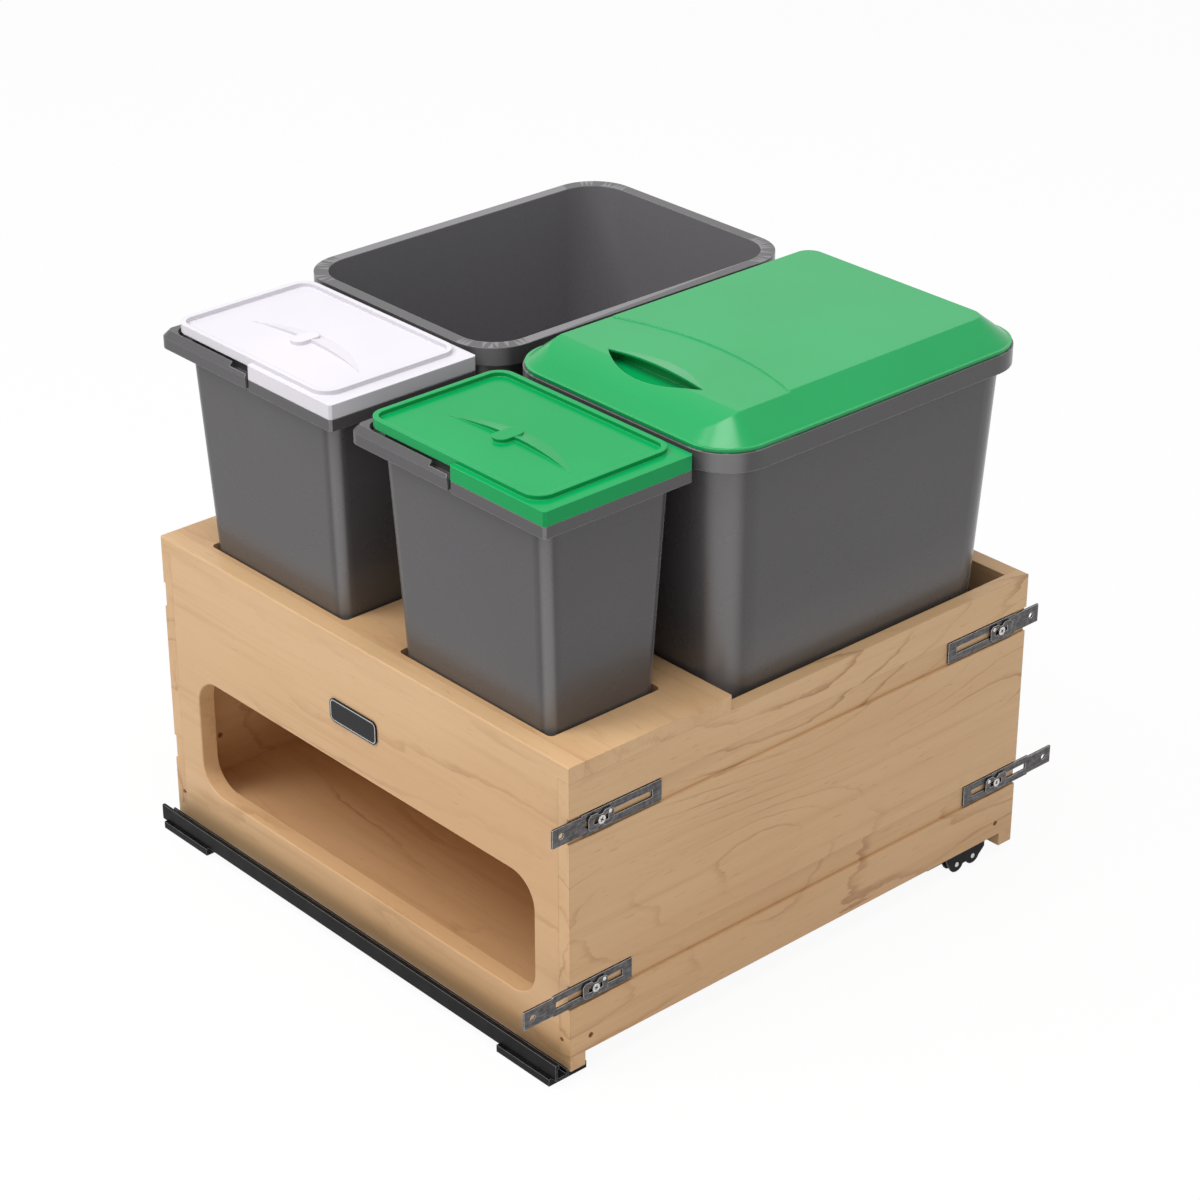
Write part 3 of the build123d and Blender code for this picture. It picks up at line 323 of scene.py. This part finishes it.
def plated_group():
    """Zinc plating: mottled grey with short brushed scratches along Y."""
    group, start, end = new_group("plated_steel", {"Position": "Vector"},
                                  {"Tone": "Float", "Gloss": "Float", "Height": "Float"})
    position = start["Position"]
    turned = add_node(group, "ShaderNodeMapping", {"Vector": position, "Rotation": (0, 0, QUARTER_TURN)})
    scratches = drawn_noise(group, turned.outputs["Vector"], along=60.0, across=1500.0,
                            scale=1.0, detail=3.0, roughness=0.6)
    spots = noise(group, position, scale=260.0, detail=4.0, roughness=0.65)
    mottle = plus(group, times(group, scratches, SCRATCH_SHARE), times(group, spots, 1 - SCRATCH_SHARE))
    tone = ramp(group, mottle, low=0.34, high=0.72)
    gloss = spread(group, spots, low=0.20, high=0.42)
    fill(group, end, {"Tone": tone, "Gloss": gloss, "Height": scratches})
    return group


soft_edge = soft_edge_group()
maple = maple_group()
moulded = moulded_group()
plated = plated_group()


# ---------------------------------------------------------------- maple boards
ALONG_X = (0.0, 0.0, 0.0)
ALONG_Y = (0.0, 0.0, QUARTER_TURN)
# turn is the way a board's grain runs, offset where in the veneer it is cut from, figure how strongly its
# growth rings show and wander how far they stray from straight lines
maple_boards = {
    "front_panel": dict(turn=ALONG_X, offset=(0.0, 0.0, 0.0), figure=0.50, wander=4.0),
    "rear_panel": dict(turn=ALONG_X, offset=(1.3, 0.4, 0.2), figure=0.80, wander=11.0),
    "bay_divider": dict(turn=ALONG_X, offset=(2.1, 0.7, 0.9), figure=0.50, wander=7.0),
    "bin_shelf": dict(turn=ALONG_X, offset=(3.7, 0.2, 0.5), figure=0.50, wander=7.0),
    "base_panel": dict(turn=ALONG_X, offset=(0.6, 1.9, 0.3), figure=0.70, wander=9.0),
    "top_board": dict(turn=ALONG_X, offset=(4.2, 0.9, 1.4), figure=0.50, wander=6.0),
    "side_panel_left": dict(turn=ALONG_Y, offset=(2.2, 1.1, 0.6), figure=0.95, wander=14.0),
    "side_panel_right": dict(turn=ALONG_Y, offset=(0.35, 0.0, 0.25), figure=1.0, wander=14.0),
}


def maple_material(name, turn, offset, figure, wander):
    material, tree, shader = new_material(name)
    edge = use_group(tree, soft_edge, {"Radius": WOOD_EDGE})
    board = use_group(tree, maple,
                      {"Position": place(tree, turn, offset), "Figure": figure, "Wander": wander})
    fill(tree, shader.inputs, {
        "Base Color": board["Color"],
        "Roughness": board["Roughness"],
        "Normal": bump(tree, board["Height"], distance=0.0002, strength=0.35, normal=edge["Normal"]),
        "Specular IOR Level": 0.30,
        "Coat Weight": 0.10,
        "Coat Roughness": 0.25,
    })
    return material


# ---------------------------------------------------------------- moulded plastic
def upright_corners(tree):
    """Marks the middle of the rounded upright corners of a bin."""
    facing = split_axes(tree, tree.nodes.new("ShaderNodeTexCoord").outputs["Normal"])
    both = math_node(tree, "ABSOLUTE", times(tree, facing["X"], facing["Y"]))
    return ramp(tree, both, low=0.30, high=0.50)


def inward(tree, centre):
    """Marks the faces that look in at an upright line through centre."""
    coordinates = tree.nodes.new("ShaderNodeTexCoord").outputs
    away = vector_math(tree, "SUBTRACT", coordinates["Object"], centre)["Vector"]
    level = vector_math(tree, "MULTIPLY", away, (1.0, 1.0, 0.0))["Vector"]
    facing = vector_math(tree, "DOT_PRODUCT", level, coordinates["Normal"])["Value"]
    return math_node(tree, "LESS_THAN", facing, 0.0)


def moulded_material(name, light, deep, highlight_colour, gloss, specular=0.5, painted_reflection=None, middle=None):
    """Moulded plastic, with a painted highlight on its sharp edges. A bin gets a painted warm reflection of
    the wood towards its lower end and painted highlights on its upright corners, and in a bin with a middle,
    the faces that look in at it are painted lighter than the outer ones, as painted light inside the bin."""
    material, tree, shader = new_material(name)
    edge = use_group(tree, soft_edge, {"Radius": PLASTIC_EDGE})
    skin = use_group(tree, moulded, {"Position": place(tree)})
    body = mix_colour(tree, skin["Tone"], light, deep)
    if painted_reflection is not None:
        # painted reflection: the bin pales warm towards its lower end, standing in for light from the wood
        low = minus(tree, 1.0, ramp(tree, split_axes(tree, place(tree))["Z"], PAINTED_REFLECTION_FULL, PAINTED_REFLECTION_TOP))
        body = tint(tree, body, painted_reflection, low, strength=0.85)
        # painted highlight on the rounded upright corners
        body = tint(tree, body, highlight_colour, upright_corners(tree), strength=0.42)
    if middle is not None:
        # painted light: faces that look in at the middle are drawn lighter than the outer ones
        body = mix_colour(tree, inward(tree, middle), body, BIN_INSIDE_PAINTED_LIGHT)
    fill(tree, shader.inputs, {
        # painted highlight on the sharp edges
        "Base Color": tint(tree, body, highlight_colour, edge["Edge"], strength=0.60),
        "Roughness": spread(tree, skin["Gloss"], *gloss),
        "Normal": bump(tree, skin["Height"], distance=0.0000015, strength=0.4, normal=edge["Normal"]),
        "Specular IOR Level": specular,
    })
    return material


def bin_material(name, middle=None):
    return moulded_material(name, BIN_GREY, BIN_GREY_DEEP, BIN_HIGHLIGHT, gloss=(0.25, 0.30), specular=0.40,
                            painted_reflection=BIN_PAINTED_REFLECTION, middle=middle)


def green_material(name, gloss, specular):
    return moulded_material(name, LID_GREEN, LID_GREEN_DEEP, LID_GREEN_HIGHLIGHT, gloss, specular)


# ---------------------------------------------------------------- plated and coated steel
RECESS_DEPTH = 12.0             # depth of a recess, against the scratches' height


def plated_material(name, light, dark, recess=None, edge_radius=STEEL_EDGE):
    """Plated steel with a painted highlight on its edges. A recess sinks what it marks and is darkened there
    with painted shade.
    """
    material, tree, shader = new_material(name)
    position = place(tree)
    edge = use_group(tree, soft_edge, {"Radius": edge_radius})
    plating = use_group(tree, plated, {"Position": position})
    body = mix_colour(tree, plating["Tone"], dark, light)
    # painted highlight on the sharp edges
    body = tint(tree, body, ZINC_PALE_AND_HIGHLIGHT, edge["Edge"], strength=0.85)
    height = plating["Height"]
    if recess is not None:
        mark = recess(tree, position)
        # painted shade in the recess
        body = mix_colour(tree, mark, body, RECESS_PAINTED_SHADE)
        height = minus(tree, height, times(tree, mark, RECESS_DEPTH))
    fill(tree, shader.inputs, {
        "Base Color": body,
        "Roughness": plating["Gloss"],
        "Normal": bump(tree, height, distance=0.00004, strength=0.6, normal=edge["Normal"]),
        "Metallic": 1.0,
    })
    return material


def screw_cross(tree, position):
    """Cross recess in the head of each bracket screw: the four heads mirror each other from end to end."""
    axes = split_axes(tree, position)
    mirrored = math_node(tree, "ABSOLUTE", axes["Y"])
    crosses = []
    for y, z in (UPPER_SCREW, LOWER_SCREW):
        beside = minus(tree, mirrored, y)
        above = minus(tree, axes["Z"], z)
        first = math_node(tree, "ABSOLUTE", plus(tree, beside, times(tree, above, CROSS_SLOPE)))
        second = math_node(tree, "ABSOLUTE", minus(tree, above, times(tree, beside, CROSS_SLOPE)))
        arms = math_node(tree, "LESS_THAN", math_node(tree, "MINIMUM", first, second), CROSS_HALF)
        near = math_node(tree, "LESS_THAN", math_node(tree, "MAXIMUM", first, second), CROSS_REACH)
        crosses.append(times(tree, arms, near))
    return math_node(tree, "MAXIMUM", *crosses)


def coated_material(name, light, deep):
    """Black powder coat: fine orange peel and a broken sheen, with a painted highlight on its edges."""
    material, tree, shader = new_material(name)
    position = place(tree)
    edge = use_group(tree, soft_edge, {"Radius": BRACKET_EDGE})
    peel = noise(tree, position, scale=900.0, roughness=0.6)
    cloud = ramp(tree, noise(tree, position, scale=60.0), low=0.35, high=0.7)
    fill(tree, shader.inputs, {
        # painted highlight on the edges
        "Base Color": mix_colour(tree, edge["Edge"], mix_colour(tree, cloud, deep, light), BLACK_COAT_HIGHLIGHT),
        "Roughness": spread(tree, peel, low=0.30, high=0.46),
        "Normal": bump(tree, peel, distance=0.00008, strength=0.5, normal=edge["Normal"]),
        "Specular IOR Level": 0.09,
    })
    return material


# ---------------------------------------------------------------- plaque
def plaque_outline(tree):
    """Marks a thin line inside the plaque's rounded outline."""
    axes = split_axes(tree, place(tree, offset=(0, 0, -PLAQUE_CENTRE[2])))
    past_corner = []
    for axis, half in (("X", PLAQUE_HALF_WIDTH), ("Z", PLAQUE_HALF_HEIGHT)):
        past = minus(tree, math_node(tree, "ABSOLUTE", axes[axis]), half - PLAQUE_ROUND)
        past_corner.append(math_node(tree, "MAXIMUM", past, 0.0))
    reach = vector_math(tree, "LENGTH", join_axes(tree, *past_corner))["Value"]
    off_line = math_node(tree, "ABSOLUTE", minus(tree, reach, PLAQUE_ROUND - PLAQUE_LINE_INSET))
    return minus(tree, 1.0, ramp(tree, off_line, PLAQUE_LINE_HALF, 2 * PLAQUE_LINE_HALF))


def plaque_material():
    """Glossy black plaque with a thin light line inside its outline."""
    material, tree, shader = new_material("plaque_black")
    edge = use_group(tree, soft_edge, {"Radius": STEEL_EDGE})
    line = plaque_outline(tree)
    speck = noise(tree, place(tree), scale=500.0)
    body = mix_colour(tree, ramp(tree, speck, low=0.3, high=0.8), PLAQUE_BLACK, BLACK_COAT_LIGHT)
    fill(tree, shader.inputs, {
        "Base Color": mix_colour(tree, line, body, PLAQUE_LINE),
        "Roughness": spread(tree, speck, low=0.20, high=0.34),
        "Normal": bump(tree, line, distance=0.00015, strength=0.6, normal=edge["Normal"]),
        "Specular IOR Level": 0.20,
    })
    return material


# ---------------------------------------------------------------- finishes of the CAD pieces
black_coat = coated_material("black_coat", BLACK_COAT_LIGHT, BLACK_COAT)
rivet_zinc = plated_material("rivet_zinc", ZINC_PALE_AND_HIGHLIGHT, SLIDE_LIGHT)
slot_materials = {
    "grey_plastic": bin_material("bin_grey"),
    "green_plastic": green_material("lid_green", gloss=(0.20, 0.26), specular=0.14),
    "white_plastic": moulded_material("lid_white", LID_WHITE, LID_WHITE_DEEP, LID_WHITE_HIGHLIGHT,
                                      gloss=(0.26, 0.38)),
    "nylon": moulded_material("nylon", NYLON, NYLON, LID_WHITE_HIGHLIGHT, gloss=(0.4, 0.5)),
    "bracket_steel": plated_material("zinc_plate", ZINC_LIGHT, ZINC_DARK, edge_radius=BRACKET_EDGE),
    "slide_steel": plated_material("slide_zinc", SLIDE_LIGHT, SLIDE_DARK),
    "black_steel": black_coat,
    "plaque_black": plaque_material(),
}
own_materials = {
    "bracket_screws": plated_material("screw_zinc", ZINC_PALE_AND_HIGHLIGHT, SLIDE_LIGHT, screw_cross),
    "large_bin_lid": green_material("large_lid_green", gloss=(0.22, 0.28), specular=0.42),
}
for name in ("large_bin_left", "large_bin_right"):
    own_materials[name] = bin_material(name + "_grey", centre_of(name))
for name, look in maple_boards.items():
    own_materials[name] = maple_material(name + "_maple", **look)

for entry in frame["record"]["subparts"]:
    finish = own_materials.get(entry["node"], slot_materials.get(entry["material_slot"]))
    if finish is not None:
        nodes[entry["node"]].data.materials.clear()
        nodes[entry["node"]].data.materials.append(finish)


# ---------------------------------------------------------------- domed rivet and pin heads
HEAD_SEGMENTS = 20
HEAD_RINGS = 14


def mesh_object(name, vertices, faces):
    mesh = bpy.data.meshes.new(name)
    mesh.from_pydata(vertices, [], faces)
    made = bpy.data.objects.new(name, mesh)
    bpy.context.collection.objects.link(made)
    return made


def domed_head_tree():
    """Sets a domed head, facing +X, on every point of the incoming mesh."""
    tree, start, end = new_group(
        "domed_heads",
        {"Geometry": "Geometry", "Head Radius": "Float", "Head Height": "Float", "Finish": "Material"},
        {"Geometry": "Geometry"}, kind="GeometryNodeTree")
    ball = add_node(tree, "GeometryNodeMeshUVSphere",
                    {"Segments": HEAD_SEGMENTS, "Rings": HEAD_RINGS, "Radius": 1.0})
    size = join_axes(tree, start["Head Height"], start["Head Radius"], start["Head Radius"])
    pressed = add_node(tree, "GeometryNodeTransform", {"Geometry": ball.outputs["Mesh"], "Scale": size})
    at = split_axes(tree, tree.nodes.new("GeometryNodeInputPosition").outputs["Position"])
    flat = join_axes(tree, math_node(tree, "MAXIMUM", at["X"], 0.0), at["Y"], at["Z"])
    domed = add_node(tree, "GeometryNodeSetPosition",
                     {"Geometry": pressed.outputs["Geometry"], "Position": flat})
    heads = add_node(tree, "GeometryNodeInstanceOnPoints",
                     {"Points": start["Geometry"], "Instance": domed.outputs["Geometry"]})
    solid = add_node(tree, "GeometryNodeRealizeInstances", {"Geometry": heads.outputs["Instances"]})
    finished = add_node(tree, "GeometryNodeSetMaterial",
                        {"Geometry": solid.outputs["Geometry"], "Material": start["Finish"]})
    fill(tree, end, {"Geometry": finished.outputs["Geometry"]})
    return tree


domed_heads = domed_head_tree()


def add_heads(name, places, radius, height, finish, body):
    """Domed heads at the places, made one plain mesh on a body."""
    made = mesh_object(name, places, [])
    modifier = made.modifiers.new("heads", "NODES")
    modifier.node_group = domed_heads
    keys = {item.name: item.identifier for item in domed_heads.interface.items_tree if item.in_out == "INPUT"}
    modifier[keys["Head Radius"]] = radius
    modifier[keys["Head Height"]] = height
    modifier[keys["Finish"]] = finish
    shape = bpy.data.meshes.new_from_object(made.evaluated_get(bpy.context.evaluated_depsgraph_get()))
    made.modifiers.clear()
    made.data = shape
    made.data.polygons.foreach_set("use_smooth", [True] * len(made.data.polygons))
    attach(made, body)


# ---------------------------------------------------------------- rivets on the bracket clamps
CLAMP_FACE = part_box("bracket_clamps")[1][0]
RIVET_INWARD = 0.0092           # from the screw, towards the middle of the tray
RIVET_UP = 0.0040
RIVET_RADIUS = 0.0019
RIVET_HEIGHT = 0.0008

rivet_places = []
for y, z in (UPPER_SCREW, LOWER_SCREW):
    for end in (-1, 1):
        rivet_places.append((CLAMP_FACE, end * (y - RIVET_INWARD), z + RIVET_UP))
add_heads("clamp_rivets", rivet_places, RIVET_RADIUS, RIVET_HEIGHT, rivet_zinc, "tray")


# ---------------------------------------------------------------- tilt adjusters under the rear of the sides
PLATE_THICK = 0.0014            # the flange under the side panel and the two cheeks below it
FLANGE_GAP = 0.0002             # from the side panel
FRONT_SETBACK = 0.003           # from the front end of the bracket on the slide
INNER_SETBACK = 0.0015          # from the side panel's inner face
OUTER_SETBACK = 0.0020          # from its outer face
CHEEK_FRONT_DROP = 0.004
CHEEK_REAR_DROP = 0.0065
LOBE_HALF_LENGTH = 0.0084
LOBE_HALF_HEIGHT = 0.0072
LOBE_TURNS = range(200, 345, 18)    # degrees along the lower side of a lobe
ROLLER_RADIUS = 0.0056
ROLLER_GAP = 0.0004             # from each cheek
ROLLER_PLAN = ((0.0355, 0.0092), (0.0150, 0.0098))      # distance from the rear end, height
ROLLER_RIDGES = 14
RIDGE_STEPS = 4                 # outline points of a ridge and the valley after it, half of them each
VALLEY_REACH = 0.90             # share of the roller's radius
PIN_RADIUS = 0.0024
PIN_HEIGHT = 0.0011

side_low, side_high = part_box("side_panel_right")
bracket_low, bracket_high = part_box("rear_bracket_right")
FLANGE_TOP = side_low[2] - FLANGE_GAP
ADJUSTER_FRONT = bracket_low[1] + FRONT_SETBACK
ADJUSTER_REAR = bracket_high[1]
CHEEK_INSIDE = side_low[0] + INNER_SETBACK
CHEEK_OUTSIDE = side_high[0] - OUTER_SETBACK
BETWEEN_CHEEKS = (CHEEK_INSIDE + PLATE_THICK, CHEEK_OUTSIDE - PLATE_THICK)
CHEEKS = ((CHEEK_INSIDE, BETWEEN_CHEEKS[0]), (BETWEEN_CHEEKS[1], CHEEK_OUTSIDE))
ROLLER_SPAN = (BETWEEN_CHEEKS[0] + ROLLER_GAP, BETWEEN_CHEEKS[1] - ROLLER_GAP)
ROLLER_PLACES = [(ADJUSTER_REAR - back, height) for back, height in ROLLER_PLAN]


def upright_slab(outline, near, far, side):
    """Closed slab between two X values on one side of the tray, from an outline of Y and Z."""
    count = len(outline)
    vertices = [(side * x, y, z) for x in (near, far) for y, z in outline]
    faces = [tuple(range(count)), tuple(range(2 * count - 1, count - 1, -1))]
    faces += [(i, i + count, (i + 1) % count + count, (i + 1) % count) for i in range(count)]
    return vertices, faces


def flange_outline():
    lower = FLANGE_TOP - PLATE_THICK
    return [(ADJUSTER_FRONT, lower), (ADJUSTER_REAR, lower),
            (ADJUSTER_REAR, FLANGE_TOP), (ADJUSTER_FRONT, FLANGE_TOP)]


def cheek_outline():
    """Cheek plate with a lobe round each roller."""
    points = [(ADJUSTER_REAR, FLANGE_TOP), (ADJUSTER_FRONT, FLANGE_TOP),
              (ADJUSTER_FRONT, FLANGE_TOP - CHEEK_FRONT_DROP)]
    for y, z in ROLLER_PLACES:
        for degrees in LOBE_TURNS:
            turn = math.radians(degrees)
            points.append((y + LOBE_HALF_LENGTH * math.cos(turn), z + LOBE_HALF_HEIGHT * math.sin(turn)))
    points.append((ADJUSTER_REAR, FLANGE_TOP - CHEEK_REAR_DROP))
    return points


def roller_outline(centre):
    """Ridged roller seen end on."""
    points = []
    steps = ROLLER_RIDGES * RIDGE_STEPS
    for i in range(steps):
        turn = 2 * math.pi * i / steps
        on_ridge = i % RIDGE_STEPS < RIDGE_STEPS / 2
        reach = ROLLER_RADIUS * (1.0 if on_ridge else VALLEY_REACH)
        points.append((centre[0] + reach * math.cos(turn), centre[1] + reach * math.sin(turn)))
    return points


def add_adjuster(side, name):
    """Flange, cheeks and rollers as one piece; side is -1 under the left panel and 1 under the right."""
    slabs = [(flange_outline(), *BETWEEN_CHEEKS)]
    slabs += [(cheek_outline(), *cheek) for cheek in CHEEKS]
    slabs += [(roller_outline(centre), *ROLLER_SPAN) for centre in ROLLER_PLACES]
    vertices, faces = [], []
    for outline, near, far in slabs:
        more_vertices, more_faces = upright_slab(outline, near, far, side)
        faces += [tuple(i + len(vertices) for i in face) for face in more_faces]
        vertices += more_vertices
    made = mesh_object("tilt_adjuster_" + name, vertices, faces)
    shape = bmesh.new()
    shape.from_mesh(made.data)
    bmesh.ops.recalc_face_normals(shape, faces=shape.faces)
    shape.to_mesh(made.data)
    shape.free()
    made.data.materials.append(black_coat)
    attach(made, "tray")


for side, name in ((-1, "left"), (1, "right")):
    add_adjuster(side, name)
pin_places = [(CHEEK_OUTSIDE, y, z) for y, z in ROLLER_PLACES]
add_heads("adjuster_pins_right", pin_places, PIN_RADIUS, PIN_HEIGHT, rivet_zinc, "tray")


# ---------------------------------------------------------------- floor
FLOOR_SIZE = 30.0
FLOOR_GLOW = 0.94               # share of plain white in what is seen of the floor, which leaves a shadow


def floor_material():
    """White floor with a faint shadow where the object stands."""
    material, tree, shader = new_material("studio_floor")
    fill(tree, shader.inputs, {"Base Color": FLOOR_WHITE, "Roughness": 0.9})
    glow = add_node(tree, "ShaderNodeEmission", {"Color": WHITE, "Strength": 1.0})
    share = times(tree, seen_rays(tree), FLOOR_GLOW)
    blend = add_node(tree, "ShaderNodeMixShader", {0: share, 1: shader.outputs[0], 2: glow.outputs[0]})
    fill(tree, tree.nodes["Material Output"].inputs, {"Surface": blend.outputs[0]})
    return material


bpy.ops.mesh.primitive_plane_add(size=FLOOR_SIZE)
floor = bpy.context.object
floor.name = "studio_floor"
floor.data.materials.append(floor_material())


# ---------------------------------------------------------------- light
LAMP_TARGET = (0.0, 0.0, 0.25)
WORLD_LIGHT = 0.42              # strength of the world as light
WORLD_SEEN = 0.98               # and as background


def disk_lamp(name, location, size, power):
    """Round area lamp that points at the object."""
    data = bpy.data.lights.new(name, "AREA")
    data.shape = "DISK"
    data.size = size
    data.energy = power
    lamp = bpy.data.objects.new(name, data)
    bpy.context.collection.objects.link(lamp)
    lamp.location = location
    lamp.rotation_euler = (Vector(LAMP_TARGET) - Vector(location)).to_track_quat("-Z", "Y").to_euler()


disk_lamp("key", location=(-0.9, -2.0, 3.0), size=1.6, power=47.0)
disk_lamp("top", location=(0.45, -0.5, 3.4), size=2.0, power=58.0)

world = bpy.data.worlds.new("studio")
world.use_nodes = True
world_level = spread(world.node_tree, seen_rays(world.node_tree), WORLD_LIGHT, WORLD_SEEN)
fill(world.node_tree, world.node_tree.nodes["Background"].inputs, {"Color": WHITE, "Strength": world_level})
bpy.context.scene.world = world


# ---------------------------------------------------------------- camera, as the photograph was taken
CAMERA_LENS = 95.6              # millimetres, on a sensor as wide as the next value
CAMERA_SENSOR = 36.0
CAMERA_PLACE = (1.81294, -1.62129, 1.50396)
CAMERA_TILT = math.radians(62.4538)
CAMERA_TURN = math.radians(48.0304)

camera_data = bpy.data.cameras.new("photo_camera")
camera_data.lens = CAMERA_LENS
camera_data.sensor_width = CAMERA_SENSOR
camera = bpy.data.objects.new("photo_camera", camera_data)
bpy.context.collection.objects.link(camera)
camera.location = CAMERA_PLACE
camera.rotation_euler = (CAMERA_TILT, 0.0, CAMERA_TURN)
bpy.context.scene.camera = camera
bpy.context.scene.view_settings.view_transform = "Standard"
